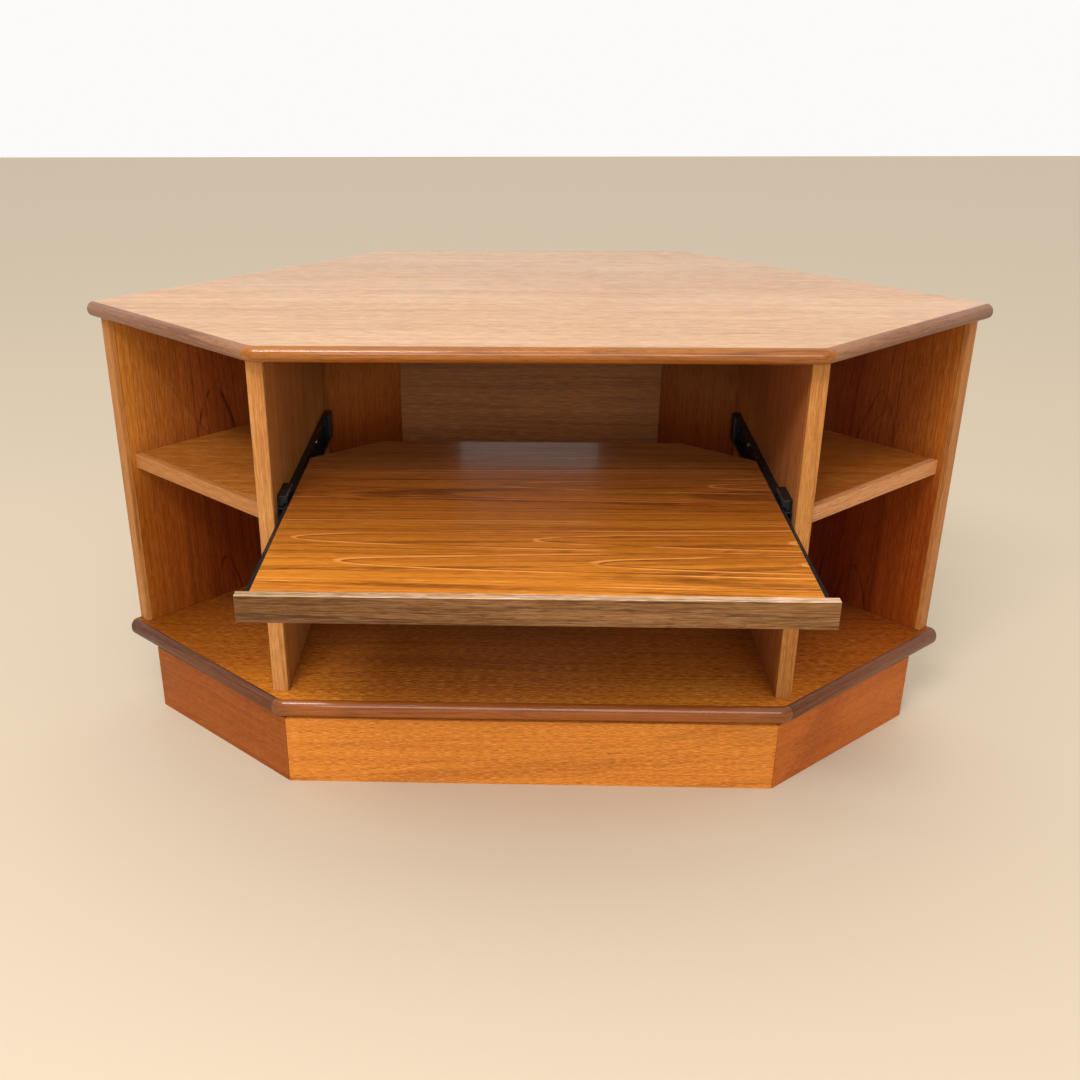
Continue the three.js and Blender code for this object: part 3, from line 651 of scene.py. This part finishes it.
black = hard("runner_paint", (0.011, 0.011, 0.014), 0.3, 0.0, (0.05, 0.05, 0.055), shine=0.2)
plastic = hard("guide_plastic", (0.008, 0.008, 0.009), 0.28, 0.0, (0.03, 0.03, 0.03), grit=500.0,
               bump=0.12, shine=0.2)
nylon = hard("roller_nylon", (0.72, 0.70, 0.64), 0.45, 0.0, (0.8, 0.79, 0.74), grit=400.0, bump=0.06)
zinc = hard("zinc_plate", (0.55, 0.56, 0.58), 0.3, 1.0, (0.75, 0.75, 0.76), grit=1400.0, bump=0.08)


def dress_fittings(side):
    dress(f"fixed_rail_{side}", black, SHEET_EASE, 2)
    dress(f"moving_rail_{side}", black, SHEET_EASE, 2)
    dress(f"front_guide_{side}", plastic, MOULDED_EASE)
    dress(f"rear_buffer_{side}", plastic, MOULDED_EASE)
    for part in ("front", "rear"):
        dress(f"{part}_roller_{side}", nylon, SHEET_EASE, 2)
        dress(f"{part}_pin_{side}", zinc, PIN_EASE, 2)
    for i in (1, 2):
        dress(f"rail_screw_{i}_{side}", zinc, SHEET_EASE, 2)
    for i in (1, 2, 3):
        dress(f"shelf_peg_{i}_{side}", zinc, SHEET_EASE, 2)


for side, _ in SIDES:
    dress_fittings(side)


# ---------------------------------------------------------------- stage, light and camera

FLOOR_HALF = 6.0


def stage_floor():
    data = bpy.data.meshes.new("floor")
    mesh = bmesh.new()
    corners = ((-1, -1), (1, -1), (1, 1), (-1, 1))
    mesh.faces.new([mesh.verts.new((x * FLOOR_HALF, y * FLOOR_HALF, 0.0)) for x, y in corners])
    mesh.to_mesh(data)
    mesh.free()
    obj = bpy.data.objects.new("floor", data)
    bpy.context.scene.collection.objects.link(obj)
    material, _, shader = new_material("floor_pale")
    shader.inputs["Base Color"].default_value = (0.565, 0.46, 0.335, 1.0)
    shader.inputs["Roughness"].default_value = 0.7
    data.materials.append(material)


def area(name, place, target, size, power):
    data = bpy.data.lights.new(name, "AREA")
    data.shape = "RECTANGLE"
    data.size, data.size_y = size
    data.energy = power
    obj = bpy.data.objects.new(name, data)
    obj.location = place
    obj.rotation_euler = (Vector(target) - Vector(place)).to_track_quat("-Z", "Y").to_euler()
    bpy.context.scene.collection.objects.link(obj)


def sky(overhead, behind, ahead, seen):
    """Soft dome, with a strength for each direction, that the camera sees as a plain backdrop."""
    world = bpy.data.worlds.new("studio")
    world.use_nodes = True
    tree = world.node_tree
    split = tree.nodes.new("ShaderNodeSeparateXYZ")
    feed(tree, split.inputs[0], tree.nodes.new("ShaderNodeTexCoord").outputs["Generated"])
    level = remap(tree, split.outputs[1], -0.7, 0.7, ahead, behind)
    dome = tree.nodes.new("ShaderNodeMix")
    rise = remap(tree, split.outputs[2], 0.1, 0.85)
    for socket, value in zip((dome.inputs["Factor"], dome.inputs[2], dome.inputs[3]),
                             (rise, level, overhead)):
        feed(tree, socket, value)
    straight = tree.nodes.new("ShaderNodeLightPath").outputs["Is Camera Ray"]
    power = tree.nodes.new("ShaderNodeMix")
    for socket, value in zip((power.inputs["Factor"], power.inputs[2], power.inputs[3]),
                             (straight, dome.outputs[0], seen)):
        feed(tree, socket, value)
    background = tree.nodes["Background"]
    background.inputs["Color"].default_value = (1.0, 0.99, 0.97, 1.0)
    feed(tree, background.inputs["Strength"], power.outputs[0])
    bpy.context.scene.world = world


stage_floor()
sky(overhead=1.2, behind=0.75, ahead=0.3, seen=0.97)
area("key", (-0.8, -1.9, 2.5), (0, -0.1, 0.3), (1.1, 0.5), 42.0)
area("lamp", (-0.5, -1.3, 2.7), (-0.1, -0.2, 0.4), (1.5, 0.14), 9.0)
area("window", (0.3, -3.2, 1.35), (0, 0.1, 0.3), (2.4, 1.0), 42.0)


def place_camera(position, yaw, pitch, roll, focal, centre):
    """focal and centre are in units of the frame's width."""
    yaw, pitch, roll = map(math.radians, (yaw, pitch, roll))
    ahead = Vector((math.sin(yaw), math.cos(yaw), 0.0))
    forward = ahead * math.cos(pitch) + Vector((0.0, 0.0, math.sin(pitch)))
    level = Vector((math.cos(yaw), -math.sin(yaw), 0.0))
    above = level.cross(forward)
    right = level * math.cos(roll) + above * math.sin(roll)
    up = above * math.cos(roll) - level * math.sin(roll)
    data = bpy.data.cameras.new("camera")
    data.sensor_width = 36.0
    data.lens = 36.0 * focal
    data.shift_x = 0.5 - centre[0]
    data.shift_y = centre[1] - 0.5
    data.clip_start = 0.01
    obj = bpy.data.objects.new("camera", data)
    turn = Matrix((right, up, -forward)).transposed().to_4x4()
    obj.matrix_world = Matrix.Translation(position) @ turn
    bpy.context.scene.collection.objects.link(obj)
    bpy.context.scene.camera = obj


place_camera((-0.01725, -1.32877, 0.84513), yaw=-2.21, pitch=-24.29, roll=-0.35, focal=1.10583,
             centre=(0.43963, 0.49843))
bpy.context.scene.view_settings.view_transform = "Standard"
